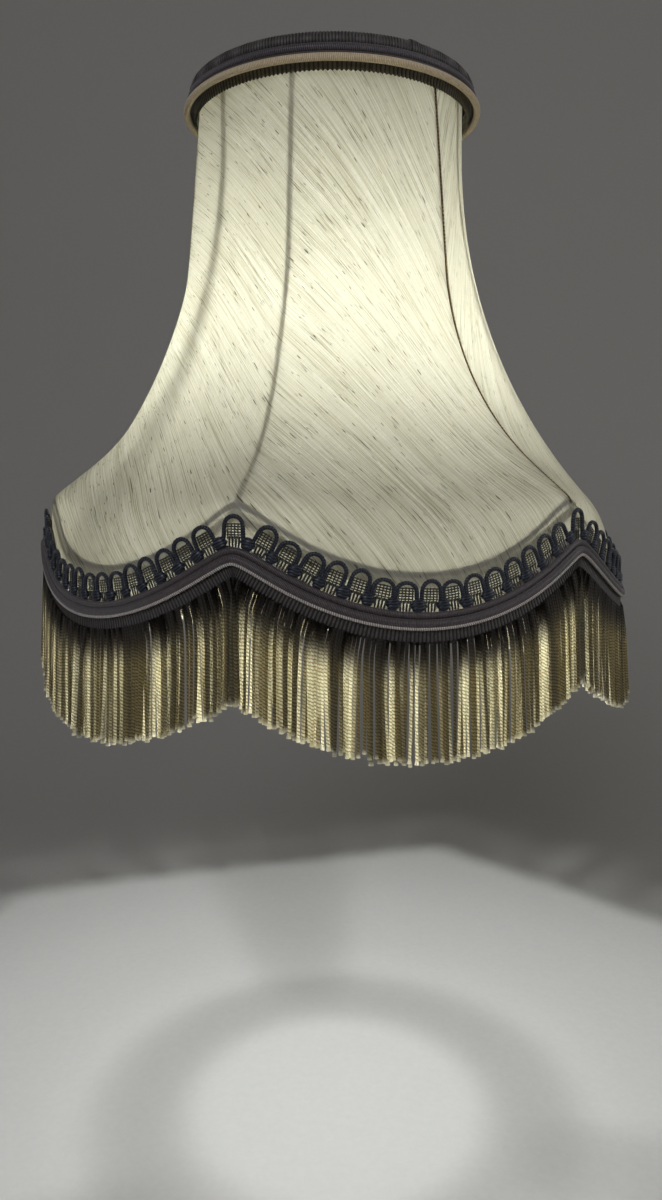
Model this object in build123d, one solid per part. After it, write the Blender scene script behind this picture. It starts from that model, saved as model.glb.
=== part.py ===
"""Scalloped table-lamp shade: wire frame, two-half bias-cut cover, braided and fringed trims.

Millimetres. The origin is the centre of the lampholder bore in the fitting ring, +Z points up,
and -Y looks at the middle of the front panel. Azimuths are in degrees from -Y towards +X.
"""
import os
from math import atan2, cos, pi, radians, sin, sqrt

from build123d import *

# Shade as a whole
PANELS = 6
PANEL_ANGLE = 360 / PANELS
STRUT_AZIMUTH = PANEL_ANGLE / 2          # first strut; the others follow every panel
SEAM_STRUTS = (0, 3)                     # the struts that the two cover halves meet on
PEAK_Z = 10.0                            # scallop peaks stand this far above the fitting ring
PEAK_RADIUS = 125.0                      # cloth at a scallop peak: a 250 mm shade
DIP_RADIUS = 123.9                       # cloth at the lowest point of a scallop
SCALLOP_DEPTH = 26.5
SKIRT_PEAK_Z = PEAK_Z - 14.0             # the cloth hangs below the scalloped wire, behind the trims
SKIRT_DIP_Z = PEAK_Z - 38.0
SKIRT_FLARE = 0.2
SKIRT_PEAK_RADIUS = 126.5
PEAK_ROLL = 8.0                          # bend where the cloth turns down over the wire at a peak
TOP_Z = PEAK_Z + 173.0                   # upper edge of the cloth
TOP_CLOTH_RADIUS = 57.7

# Frame wires
RING_WIRE = 3.0
SCALLOP_WIRE = 2.4
STRUT_WIRE = 1.8
ARM_WIRE = 3.0
TAPE = 0.4                               # cotton tape wound on the wires that are sewn to
CLOTH = 0.8                              # cover with its turned edges
CLEAR = 0.1                              # between the cloth and what lies against it
PEAK_WIRE = (PEAK_RADIUS - 3.2, PEAK_Z - 3.0)      # scalloped wire: radius and height at a peak
DIP_WIRE_GAP = 0.9                       # extra room between that wire and the cloth at a dip

# Strut line of the cloth: a steep run at the top, a flared run below, one waist bend
UPPER_SLOPE = 0.0942                     # radius gained per mm of drop
LOWER_SLOPE = 1.295
WAIST_BEND = 117.5

# Mid-panel line of the cloth: straight, a long hollow, then a short roll over the edge
MID_TOP_RADIUS = 57.0
MID_STRAIGHT_END = PEAK_Z + 148.8
MID_HOLLOW = 225.5
MID_ROLL = 37.7
BRIDGE_LIFT = 1.0                        # cloth spans clear of the unsewn struts at the waist
BRIDGE_SPAN = 100.0                      # the lift grows over this height from the top
BRIDGE_FADE = 45.0                       # and fades over this height above the lower edge

# Lampholder fitting
BORE_RADIUS = 21.0                       # 42 mm hole for a 40 mm lampholder thread
FITTING_RADIUS = 24.5
FITTING_THICKNESS = 2.0
ARM_AZIMUTHS = (-65.8, 54.2, 174.2)
ARM_BITE = 0.5                           # an arm's end reaches this far into the fitting ring
STRUT_TOP = RING_WIRE / 2 + 0.3          # a strut ends this far under the cloth's upper edge
TAPE_GAP = (2 * TAPE + 0.6, 0.5)         # slit left between the turns of tape

# Steps of the cover's shape, and how far cutting shapes reach past it
LONG_STEPS = 20
SKIRT_STEPS = 14
HALF_STEPS = 24
TRIM = 3.0
REACH = 300.0

# Lower trims: radius range, then top and bottom heights at the peaks and at the dips
LOOPS = (126.9, 128.6, PEAK_Z - 3.6, PEAK_Z - 27.6, PEAK_Z - 16.8, PEAK_Z - 38.8)
HEADING = (127.6, 130.0, PEAK_Z - 17.0, PEAK_Z - 39.0, PEAK_Z - 26.9, PEAK_Z - 48.0)
CORDS = (128.0, 132.4, PEAK_Z - 27.0, PEAK_Z - 48.1, PEAK_Z - 69.0, PEAK_Z - 89.5)
ROLL_WIRE = 2.2
ROLL_RADIUS = HEADING[1] + ROLL_WIRE / 2 + 0.1
UPPER_ROLL_Z = (PEAK_Z - 15.6, PEAK_Z - 39.1)      # at the peaks, at the dips
LOWER_ROLL_Z = (PEAK_Z - 19.0, PEAK_Z - 41.8)

# Upper trims, all round bands and cords
TOP_BRAID_Z = (PEAK_Z + 167.6, PEAK_Z + 175.6)
TOP_BRAID_RADII = (60.2, 62.3)
TOP_FLANGE_RADIUS = 52.6
TOP_FLANGE = 0.8
FINE_CORD = (62.9, PEAK_Z + 166.9, 1.3)            # ring radius, height, thickness
TOP_PIPING = (64.1, PEAK_Z + 164.9, 2.2)
TOP_HEADING_Z = (PEAK_Z + 162.7, PEAK_Z + 167.5)
TOP_HEADING_RADII = (60.2, 62.2)


def around(radius, azimuth, height):
    """Point at an azimuth measured from -Y towards +X."""
    angle = radians(azimuth)
    return Vector(radius * sin(angle), -radius * cos(angle), height)


def strut_azimuth(index):
    return STRUT_AZIMUTH + PANEL_ANGLE * index


def waist(upper_radius, upper_z, lower_radius, lower_z, bend):
    """Corner and tangent points of the two-run strut line."""
    corner_z = ((lower_radius + LOWER_SLOPE * lower_z) - (upper_radius + UPPER_SLOPE * upper_z)) / (
        LOWER_SLOPE - UPPER_SLOPE)
    corner_radius = upper_radius + UPPER_SLOPE * (upper_z - corner_z)
    half_turn = (atan2(LOWER_SLOPE, 1) - atan2(UPPER_SLOPE, 1)) / 2
    reach = bend * sin(half_turn) / cos(half_turn)
    up = (UPPER_SLOPE, -1)
    down = (LOWER_SLOPE, -1)
    up_length = sqrt(up[0] ** 2 + 1)
    down_length = sqrt(down[0] ** 2 + 1)
    start = (corner_radius - up[0] / up_length * reach, corner_z + reach / up_length)
    end = (corner_radius + down[0] / down_length * reach, corner_z - reach / down_length)
    centre = (start[0] + bend / up_length, start[1] + bend * UPPER_SLOPE / up_length)
    return start, end, centre


def strut_radius(height):
    """Cloth radius on a strut: run, bend, run, and a short turn over the scallop wire."""
    start, end, centre = waist(TOP_CLOTH_RADIUS, TOP_Z, PEAK_RADIUS, PEAK_Z, WAIST_BEND)
    if height >= start[1]:
        return TOP_CLOTH_RADIUS + UPPER_SLOPE * (TOP_Z - height)
    if height >= end[1]:
        return centre[0] - sqrt(WAIST_BEND ** 2 - (height - centre[1]) ** 2)
    lean = atan2(LOWER_SLOPE, 1)
    roll_radius = SKIRT_PEAK_RADIUS - PEAK_ROLL
    run_end = PEAK_Z - (roll_radius + PEAK_ROLL * cos(lean) - PEAK_RADIUS) / LOWER_SLOPE
    roll_z = run_end - PEAK_ROLL * sin(lean)
    if height >= run_end:
        return PEAK_RADIUS + LOWER_SLOPE * (PEAK_Z - height)
    if height >= roll_z:
        return roll_radius + sqrt(PEAK_ROLL ** 2 - (height - roll_z) ** 2)
    return SKIRT_PEAK_RADIUS


def mid_radius(height):
    """Cloth radius along the middle of a panel."""
    hollow_centre = MID_TOP_RADIUS + MID_HOLLOW
    roll_centre = (DIP_RADIUS - MID_ROLL, PEAK_Z - SCALLOP_DEPTH)
    rise = (MID_STRAIGHT_END - roll_centre[1]) / (MID_HOLLOW + MID_ROLL)
    turn_z = roll_centre[1] + MID_ROLL * rise
    if height >= MID_STRAIGHT_END:
        return MID_TOP_RADIUS
    if height >= turn_z:
        return hollow_centre - sqrt(MID_HOLLOW ** 2 - (MID_STRAIGHT_END - height) ** 2)
    if height >= roll_centre[1]:
        return roll_centre[0] + sqrt(MID_ROLL ** 2 - (height - roll_centre[1]) ** 2)
    return DIP_RADIUS + SKIRT_FLARE * (roll_centre[1] - height)


def cloth_radius(azimuth, height):
    """Outer cloth radius anywhere on the cover."""
    index = round((azimuth - STRUT_AZIMUTH) / PANEL_ANGLE)
    from_strut = abs(azimuth - strut_azimuth(index)) / (PANEL_ANGLE / 2)
    on_strut = strut_radius(height)
    middle = mid_radius(height)
    if index % 3 in SEAM_STRUTS:
        return middle + (on_strut - middle) * (1 - from_strut) ** 2
    below_top = min(1, (TOP_Z - height) / BRIDGE_SPAN)
    above_edge = max(0, min(1, (height - SKIRT_DIP_Z) / BRIDGE_FADE))
    spanned = middle + BRIDGE_LIFT * below_top * above_edge
    gap = on_strut - spanned
    held = (on_strut + spanned + sqrt(gap ** 2 + 1)) / 2
    return middle + (held - middle) * (1 + cos(pi * from_strut)) / 2


def scallop_arc(radius, peak_z, dip_z):
    """Arc of one scallop on the plane that faces it, as three points (across, height)."""
    half = radius * sin(radians(PANEL_ANGLE / 2))
    return (-half, peak_z), (0, dip_z), (half, peak_z)


def facing(azimuth):
    """Plane through the shade's axis, seen from outside at an azimuth."""
    out = around(1, azimuth, 0)
    across = around(1, azimuth + 90, 0)
    return Plane(origin=(0, 0, 0), x_dir=across, z_dir=out)


def wedge(azimuth):
    """The sixth of space that holds one panel."""
    left = around(REACH, azimuth - PANEL_ANGLE / 2, 0)
    right = around(REACH, azimuth + PANEL_ANGLE / 2, 0)
    outline = make_face(Polyline((0, 0), (left.X, left.Y), (right.X, right.Y), close=True))
    return Pos(0, 0, -REACH) * extrude(outline, 2 * REACH, dir=(0, 0, 1))


def beyond_scallops(radius, peak_z, dip_z, side):
    """Everything above (side 1) or below (side -1) a scalloped edge."""
    cutters = []
    for panel in range(PANELS):
        azimuth = PANEL_ANGLE * panel
        left, dip, right = scallop_arc(radius, peak_z, dip_z)
        far = REACH * side
        edge = ThreePointArc(left, dip, right)
        rest = Polyline(right, (REACH, peak_z), (REACH, far), (-REACH, far), (-REACH, peak_z), left)
        slab = extrude(facing(azimuth) * make_face(edge + rest), REACH, dir=around(1, azimuth, 0))
        cutters.append(slab & wedge(azimuth))
    return cutters


def scalloped_band(band):
    """Round band whose upper and lower edges follow the scallops."""
    inner, outer, peak_top, dip_top, peak_bottom, dip_bottom = band
    middle = (inner + outer) / 2
    tube = round_band(inner, outer, dip_bottom - TRIM, peak_top + TRIM)
    for cutter in beyond_scallops(middle, peak_top, dip_top, 1):
        tube -= cutter
    for cutter in beyond_scallops(middle, peak_bottom, dip_bottom, -1):
        tube -= cutter
    return tube


def scalloped_wire(peak, dip, thickness):
    """Round wire bent into one arc for each scallop, closed at the peaks."""
    wire = None
    for panel in range(PANELS):
        azimuth = PANEL_ANGLE * panel
        start = around(peak[0], azimuth - PANEL_ANGLE / 2, peak[1])
        end = around(peak[0], azimuth + PANEL_ANGLE / 2, peak[1])
        arc = ThreePointArc(start, around(dip[0], azimuth, dip[1]), end)
        section = Plane(origin=arc @ 0, z_dir=arc % 0) * Circle(thickness / 2)
        bow = sweep(section, path=arc)
        joint = Pos(*start) * Sphere(thickness / 2)
        wire = bow + joint if wire is None else wire + bow + joint
    return wire


def ring(radius, height, thickness):
    return Pos(0, 0, height) * Torus(radius, thickness / 2)


def wound_ring(radius, height, wire):
    """Tape round a ring wire, with the narrow gap that its turns leave inside the ring."""
    gap = Pos(-wire / 2, 0) * Rectangle(*TAPE_GAP)
    section = Circle(wire / 2 + TAPE) - Circle(wire / 2) - gap
    return revolve(Plane(origin=(radius, 0, height), z_dir=(0, -1, 0)) * section, Axis.Z)


def round_band(inner, outer, low, high):
    return Pos(0, 0, low) * extrude(Circle(outer) - Circle(inner), high - low)


def rod(start, end, thickness):
    direction = end - start
    return extrude(Plane(origin=start, z_dir=direction) * Circle(thickness / 2), direction.length)


def strut_path(azimuth, inset):
    """Strut centre line, inset from the cloth along its normal."""
    up_length = sqrt(1 + UPPER_SLOPE ** 2)
    down_length = sqrt(1 + LOWER_SLOPE ** 2)
    top_z = TOP_Z - STRUT_TOP
    top = (TOP_CLOTH_RADIUS + UPPER_SLOPE * (TOP_Z - top_z) - inset * up_length, top_z)
    foot = (PEAK_RADIUS - inset / down_length, PEAK_Z - inset * LOWER_SLOPE / down_length)
    start, end, centre = waist(top[0], top[1], foot[0], foot[1], WAIST_BEND + inset)
    middle_angle = (atan2(start[1] - centre[1], start[0] - centre[0])
                    + atan2(end[1] - centre[1], end[0] - centre[0])) / 2
    bend = WAIST_BEND + inset
    middle = (centre[0] + bend * cos(middle_angle), centre[1] + bend * sin(middle_angle))
    stops = [around(radius, azimuth, height) for radius, height in (top, start, middle, end, foot)]
    upper = Line(stops[0], stops[1])
    turn = ThreePointArc(stops[1], stops[2], stops[3])
    lower = Line(stops[3], stops[4])
    return Wire((upper, turn, lower))


def strut(azimuth):
    path = strut_path(azimuth, CLOTH + CLEAR + STRUT_WIRE / 2)
    return sweep(Plane(origin=path @ 0, z_dir=path % 0) * Circle(STRUT_WIRE / 2), path=path)


def cover(first_strut):
    """Half of the cover: three panels of cloth from one seam strut to the other."""
    start = strut_azimuth(first_strut)
    low = SKIRT_DIP_Z - TRIM
    turn = PEAK_Z + PEAK_ROLL
    heights = [TOP_Z - (TOP_Z - turn) * step / LONG_STEPS for step in range(LONG_STEPS)]
    heights += [turn - (turn - low) * step / SKIRT_STEPS for step in range(SKIRT_STEPS + 1)]
    sections = []
    for step in range(HALF_STEPS + 1):
        azimuth = start + 180 * step / HALF_STEPS
        outside = [around(cloth_radius(azimuth, z), azimuth, z) for z in heights]
        inside = [around(cloth_radius(azimuth, z) - CLOTH, azimuth, z) for z in reversed(heights)]
        outer = Spline(*outside)
        inner = Spline(*inside)
        ends = Line(outer @ 1, inner @ 0) + Line(inner @ 1, outer @ 0)
        sections.append(make_face(outer + inner + ends))
    cloth = loft(sections)
    for cutter in beyond_scallops(PEAK_RADIUS, SKIRT_PEAK_Z, SKIRT_DIP_Z, -1):
        cloth -= cutter
    return cloth


def main():
    os.makedirs("parts", exist_ok=True)
    nodes = {}

    # Frame: top ring, scalloped bottom wire, six struts
    taped = CLOTH + TAPE + CLEAR
    ring_radius = MID_TOP_RADIUS - taped - RING_WIRE / 2
    ring_z = TOP_Z - RING_WIRE / 2
    dip_wire = (DIP_RADIUS - taped - SCALLOP_WIRE / 2 - DIP_WIRE_GAP, PEAK_Z - SCALLOP_DEPTH)
    nodes["top_ring"] = ring(ring_radius, ring_z, RING_WIRE)
    nodes["bottom_ring"] = scalloped_wire(PEAK_WIRE, dip_wire, SCALLOP_WIRE)
    top_tape = wound_ring(ring_radius, ring_z, RING_WIRE)
    bottom_tape = scalloped_wire(PEAK_WIRE, dip_wire, SCALLOP_WIRE + 2 * TAPE)
    for index in range(PANELS):
        bar = strut(strut_azimuth(index))
        top_tape -= bar
        bottom_tape -= bar
        bar -= nodes["top_ring"] + nodes["bottom_ring"]
        nodes[f"strut_{index + 1}"] = bar.solids().sort_by(SortBy.VOLUME)[-1]

    # Lampholder fitting: bored ring on three sloping arms
    washer = round_band(BORE_RADIUS, FITTING_RADIUS, -FITTING_THICKNESS / 2, FITTING_THICKNESS / 2)
    nodes["fitting_ring"] = washer
    for index, azimuth in enumerate(ARM_AZIMUTHS):
        foot = around(FITTING_RADIUS - ARM_BITE, azimuth, 0)
        head = around(ring_radius, azimuth, ring_z)
        arm = rod(foot, head, ARM_WIRE)
        top_tape -= arm
        arm -= washer + nodes["top_ring"]
        nodes[f"fitting_arm_{index + 1}"] = arm.solids().sort_by(SortBy.VOLUME)[-1]

    # Cotton tape on the two rings
    nodes["top_ring_tape"] = top_tape
    nodes["bottom_ring_tape"] = bottom_tape - nodes["bottom_ring"]

    # Cover halves, clear of the tape that they are sewn to
    nodes["cover_front"] = cover(3 - PANELS)
    nodes["cover_back"] = cover(0)

    # Upper trims
    low, high = TOP_BRAID_Z
    inner, outer = TOP_BRAID_RADII
    flange = round_band(TOP_FLANGE_RADIUS, outer, high - TOP_FLANGE, high)
    nodes["top_braid"] = round_band(inner, outer, low, high) + flange
    nodes["top_fine_cord"] = ring(*FINE_CORD)
    nodes["top_piping"] = ring(*TOP_PIPING)
    nodes["top_heading"] = round_band(*TOP_HEADING_RADII, *TOP_HEADING_Z)

    # Lower trims
    nodes["loop_braid"] = scalloped_band(LOOPS)
    nodes["fringe_heading"] = scalloped_band(HEADING)
    nodes["fringe_cords"] = scalloped_band(CORDS)
    for name, (peak_z, dip_z) in (("upper_roll", UPPER_ROLL_Z), ("lower_roll", LOWER_ROLL_Z)):
        nodes[name] = scalloped_wire((ROLL_RADIUS, peak_z), (ROLL_RADIUS, dip_z), ROLL_WIRE)

    for name, shape in nodes.items():
        export_step(shape.solids()[0], f"parts/{name}.step")
        print(name, round(shape.volume, 1), len(shape.solids()))


main()
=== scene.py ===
import math
import random

import bpy
import numpy as np
from mathutils import Matrix, Vector


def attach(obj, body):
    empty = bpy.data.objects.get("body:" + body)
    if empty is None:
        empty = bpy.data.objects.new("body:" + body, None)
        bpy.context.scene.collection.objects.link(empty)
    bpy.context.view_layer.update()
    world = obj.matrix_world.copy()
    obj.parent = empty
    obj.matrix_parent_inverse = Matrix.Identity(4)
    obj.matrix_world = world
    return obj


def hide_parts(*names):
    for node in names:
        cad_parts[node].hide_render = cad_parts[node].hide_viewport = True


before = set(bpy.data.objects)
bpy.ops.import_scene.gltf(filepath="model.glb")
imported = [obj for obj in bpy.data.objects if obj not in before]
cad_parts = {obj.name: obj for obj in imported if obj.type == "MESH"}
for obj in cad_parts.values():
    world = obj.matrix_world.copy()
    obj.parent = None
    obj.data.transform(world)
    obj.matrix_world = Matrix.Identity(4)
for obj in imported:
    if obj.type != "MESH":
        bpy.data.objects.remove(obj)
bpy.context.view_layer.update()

mm = 0.001
body = "root"

# Sizes that every piece shares, in millimetres from the middle of the lampholder ring
shade = {
    "panels": 6,
    "firstStrut": 30.0,          # degrees from -Y towards +X
    "peakZ": 10.0,               # height of the scallop peaks
    "peakRadius": 125.0,
    "dipRadius": 123.9,
    "scallopDepth": 26.5,
}
peakZ = shade["peakZ"]
panelAngle = 360.0 / shade["panels"]
halfPanel = panelAngle / 2
mergeGap = 0.00002               # metres between points that are one point, on a sheet
fineMergeGap = 0.000004          # the same on cords and ribbed bands


# small helpers

# Turns an sRGB hex colour into the linear colour that a socket takes
def srgb(hexText):
    channels = [int(hexText[i:i + 2], 16) / 255 for i in (0, 2, 4)]
    linear = [c / 12.92 if c <= 0.04045 else ((c + 0.055) / 1.055) ** 2.4 for c in channels]
    return (*linear, 1.0)


# Adds one shader node with its settings, its incoming links and its socket values
def addNode(tree, kind, settings=None, links=None, values=None):
    node = tree.nodes.new("ShaderNode" + kind)
    for key, value in (settings or {}).items():
        setattr(node, key, value)
    for key, value in (values or {}).items():
        node.inputs[key].default_value = value
    for key, source in (links or {}).items():
        tree.links.new(source, node.inputs[key])
    return node


def newMaterial(name):
    material = bpy.data.materials.new(name)
    material.use_nodes = True
    material.node_tree.nodes.clear()
    return material, material.node_tree


# Point in metres at an azimuth from -Y towards +X, from millimetres
def around(radius, azimuth, height):
    angle = math.radians(azimuth)
    return Vector((radius * math.sin(angle), -radius * math.cos(angle), height)) * mm


def deselectAll():
    if bpy.context.mode != "OBJECT":
        bpy.ops.object.mode_set(mode="OBJECT")
    bpy.ops.object.select_all(action="DESELECT")


def selectOnly(piece):
    deselectAll()
    piece.select_set(True)
    bpy.context.view_layer.objects.active = piece


# Merges doubled points if a gap is given, and turns every face outwards
def cleanMesh(piece, merge=None):
    selectOnly(piece)
    bpy.ops.object.mode_set(mode="EDIT")
    bpy.ops.mesh.select_all(action="SELECT")
    if merge:
        bpy.ops.mesh.remove_doubles(threshold=merge)
    bpy.ops.mesh.normals_make_consistent(inside=False)
    bpy.ops.object.mode_set(mode="OBJECT")


# A grid primitive bent into a band, tube or sheet: place and pattern give each point and its UV
def wrapGrid(name, columns, rows, place, pattern, merge=mergeGap):
    deselectAll()
    bpy.ops.mesh.primitive_grid_add(x_subdivisions=columns, y_subdivisions=rows, size=2, calc_uvs=True)
    piece = bpy.context.object
    piece.name = name
    mesh = piece.data
    mesh.name = name
    flat = np.empty(len(mesh.vertices) * 3)
    mesh.vertices.foreach_get("co", flat)
    flat = flat.reshape(-1, 3)
    column = np.rint((flat[:, 0] + 1) / 2 * columns).astype(int)
    row = np.rint((flat[:, 1] + 1) / 2 * rows).astype(int)
    placed = np.array([place(i, j) for i, j in zip(column, row)], dtype=float)
    mesh.vertices.foreach_set("co", placed.ravel())
    corners = np.empty(len(mesh.loops), dtype=int)
    mesh.loops.foreach_get("vertex_index", corners)
    laid = {(i, j): pattern(i, j) for i, j in set(zip(column.tolist(), row.tolist()))}
    uv = np.array([laid[(column[v], row[v])] for v in corners], dtype=float)
    mesh.uv_layers[0].name = "pattern"
    mesh.uv_layers[0].data.foreach_set("uv", uv.ravel())
    mesh.update()
    cleanMesh(piece, merge)
    bpy.ops.object.shade_smooth()
    return piece


def applyModifier(piece, kind, **settings):
    selectOnly(piece)
    modifier = piece.modifiers.new(kind.title(), kind)
    for key, value in settings.items():
        setattr(modifier, key, value)
    bpy.ops.object.modifier_apply(modifier=modifier.name)


# Copies one modelled shape to many places and joins the copies: each placement is a mover that gives
# the copy's new points, and a shift of its pattern
def tile(name, source, placements, shadeAndFray=None):
    mesh = source.data
    count = len(mesh.vertices)
    points = np.empty(count * 3)
    mesh.vertices.foreach_get("co", points)
    points = points.reshape(-1, 3)
    faces = [tuple(p.vertices) for p in mesh.polygons]
    uv = np.empty(len(mesh.loops) * 2)
    mesh.uv_layers[0].data.foreach_get("uv", uv)
    allPoints, allFaces, allUv, allTint = [], [], [], []
    for index, (move, shift) in enumerate(placements):
        allPoints.append(move(points))
        allFaces.extend(tuple(v + index * count for v in face) for face in faces)
        allUv.append(uv.reshape(-1, 2) + np.array([0.0, shift]))
        allTint.append(np.full(count, shift % 1.0))
    joined = bpy.data.meshes.new(name)
    joined.from_pydata(np.vstack(allPoints), [], allFaces)
    layer = joined.uv_layers.new(name="pattern")
    layer.data.foreach_set("uv", np.vstack(allUv).ravel())
    tint = joined.attributes.new("tint", "FLOAT", "POINT")
    tint.data.foreach_set("value", np.concatenate(allTint))
    # An attribute along each copy, if given: the fringe's painted root shade and its frayed tip
    if shadeAndFray is not None:
        shadeAndFrayLayer = joined.attributes.new("shadeAndFray", "FLOAT", "POINT")
        shadeAndFrayLayer.data.foreach_set("value", np.tile(shadeAndFray(points), len(placements)))
    joined.shade_smooth()
    piece = bpy.data.objects.new(name, joined)
    bpy.context.collection.objects.link(piece)
    bpy.data.objects.remove(source)
    return piece


def finishPiece(piece, material, nodes=()):
    piece.data.materials.clear()
    piece.data.materials.append(material)
    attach(piece, body)
    if nodes:
        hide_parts(*nodes)


# the scalloped lines that the cloth's edge and the lower trims follow

# Height on a scalloped line: one circular arc for each panel, its peaks rounded by soften
def scallopZ(line, azimuth):
    radius, soften = line["radius"], line["soften"]
    offset = abs((azimuth + halfPanel) % panelAngle - halfPanel)
    half = radius * math.sin(math.radians(halfPanel))
    fromPeak = half - radius * math.sin(math.radians(offset))
    eased = math.sqrt(fromPeak ** 2 + soften ** 2) - soften
    full = math.sqrt(half ** 2 + soften ** 2) - soften
    side = half * (1 - eased / full)
    depth = line["peak"] - line["dip"]
    arcRadius = (half ** 2 + depth ** 2) / (2 * depth)
    return line["dip"] + arcRadius - math.sqrt(arcRadius ** 2 - side ** 2)


# Even steps along a whole scalloped line: azimuth, height, lean of the line, length so far
def trimLine(line, count):
    fineSteps = 3600
    azimuths = np.linspace(-halfPanel, 360 - halfPanel, fineSteps + 1)
    heights = np.array([scallopZ(line, a) for a in azimuths])
    arcs = np.radians(azimuths) * line["radius"]
    steps = np.hypot(np.radians(np.diff(azimuths)) * line["radius"], np.diff(heights))
    length = np.concatenate([[0], np.cumsum(steps)])
    wanted = np.linspace(0, length[-1], count + 1)
    azimuth = np.interp(wanted, length, azimuths)
    height = np.interp(wanted, length, heights)
    slope = np.interp(azimuth, azimuths, np.gradient(heights, arcs))
    return azimuth, height, np.arctan(slope), wanted


# Point at a distance across the line (positive is up, square to it) and out from its radius
def offLine(radius, azimuth, height, lean, across, out):
    side = -math.sin(lean) * across
    swing = math.degrees(side / radius)
    # the line's two sides meet under a peak, where they close up and don't cross
    if across < 0:
        fromPeak = (azimuth + halfPanel) % panelAngle
        toPeak = fromPeak if fromPeak < halfPanel else fromPeak - panelAngle
        limit = abs(toPeak) * 0.85
        swing = max(-limit, min(limit, swing))
    return around(radius + out, azimuth + swing, height + math.cos(lean) * across)


# materials

# Silk dupion lit from behind: even fine yarns one way and uneven slub yarns the other, which stop the
# light. The yarns are about 0.15 mm and are drawn two to three times as coarse, so that they show.
def dupionMaterial():
    look = {"lit": "F2F0E6", "shaded": "D0CDBC", "slub": "5E583C", "line": "A7A184",
            "passedOn": 0.68,    # share of the light that goes through
            "roughness": 0.55, "sheen": 0.15, "sheenRoughness": 0.4, "ior": 1.5, "bump": 0.3, "bumpMm": 0.3}
    # width and length in millimetres, detail, where the noise begins and ends to show, strength
    streaks = {
        "yarn": (0.5, 140.0, 2.0, 0.3, 0.7, 0.62),
        "fineYarn": (0.26, 90.0, 1.0, 0.3, 0.7, 0.38),
        "crossYarn": (9.0, 0.3, 1.0, 0.2, 0.8, 0.30),
        "slub": (0.8, 9.0, 1.0, 0.735, 0.80, 0.85),
        "longSlub": (0.5, 26.0, 1.0, 0.71, 0.79, 0.8),
        "line": (0.45, 80.0, 1.0, 0.60, 0.80, 0.8),
    }
    material, tree = newMaterial("silkDupion")
    uv = addNode(tree, "UVMap", {"uv_map": "pattern"})
    shares = {}
    for streak, (widthMm, lengthMm, detail, low, high, strength) in streaks.items():
        scaled = addNode(tree, "Mapping", {}, {"Vector": uv.outputs["UV"]},
                         {"Scale": (1 / widthMm, 1 / lengthMm, 1)})
        noise = addNode(tree, "TexNoise", {"noise_dimensions": "2D"}, {"Vector": scaled.outputs["Vector"]},
                        {"Scale": 1.0, "Detail": detail, "Roughness": 0.6})
        shown = addNode(tree, "MapRange", {"interpolation_type": "SMOOTHSTEP"},
                        {"Value": noise.outputs["Fac"]},
                        {"From Min": low, "From Max": high, "To Max": strength})
        shares[streak] = shown.outputs[0]
    weave = addNode(tree, "Math", {"operation": "ADD"}, {0: shares["yarn"], 1: shares["fineYarn"]})
    slubs = addNode(tree, "Math", {"operation": "MAXIMUM"}, {0: shares["slub"], 1: shares["longSlub"]})
    base = addNode(tree, "Mix", {"data_type": "RGBA"}, {0: weave.outputs[0]},
                   {6: srgb(look["shaded"]), 7: srgb(look["lit"])})
    colour = base.outputs[2]
    # Slubs and lines are real thick yarns; their dark colours are painted shade, standing for the light they
    # stop from behind
    over = ((shares["crossYarn"], "shaded"), (shares["line"], "line"), (slubs.outputs[0], "slub"))
    for share, overColour in over:
        layer = addNode(tree, "Mix", {"data_type": "RGBA"}, {0: share, 6: colour},
                        {7: srgb(look[overColour])})
        colour = layer.outputs[2]
    height = addNode(tree, "Math", {"operation": "ADD"}, {0: weave.outputs[0], 1: slubs.outputs[0]})
    bump = addNode(tree, "Bump", {}, {"Height": height.outputs[0]},
                   {"Strength": look["bump"], "Distance": look["bumpMm"] * mm})
    front = addNode(tree, "BsdfPrincipled", {}, {"Base Color": colour, "Normal": bump.outputs["Normal"]},
                    {"Roughness": look["roughness"], "Sheen Weight": look["sheen"],
                     "Sheen Roughness": look["sheenRoughness"], "IOR": look["ior"]})
    behind = addNode(tree, "BsdfTranslucent", {}, {"Color": colour, "Normal": bump.outputs["Normal"]})
    both = addNode(tree, "MixShader", {}, {1: front.outputs[0], 2: behind.outputs[0]}, {0: look["passedOn"]})
    addNode(tree, "OutputMaterial", {}, {"Surface": both.outputs[0]})
    return material


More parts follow.
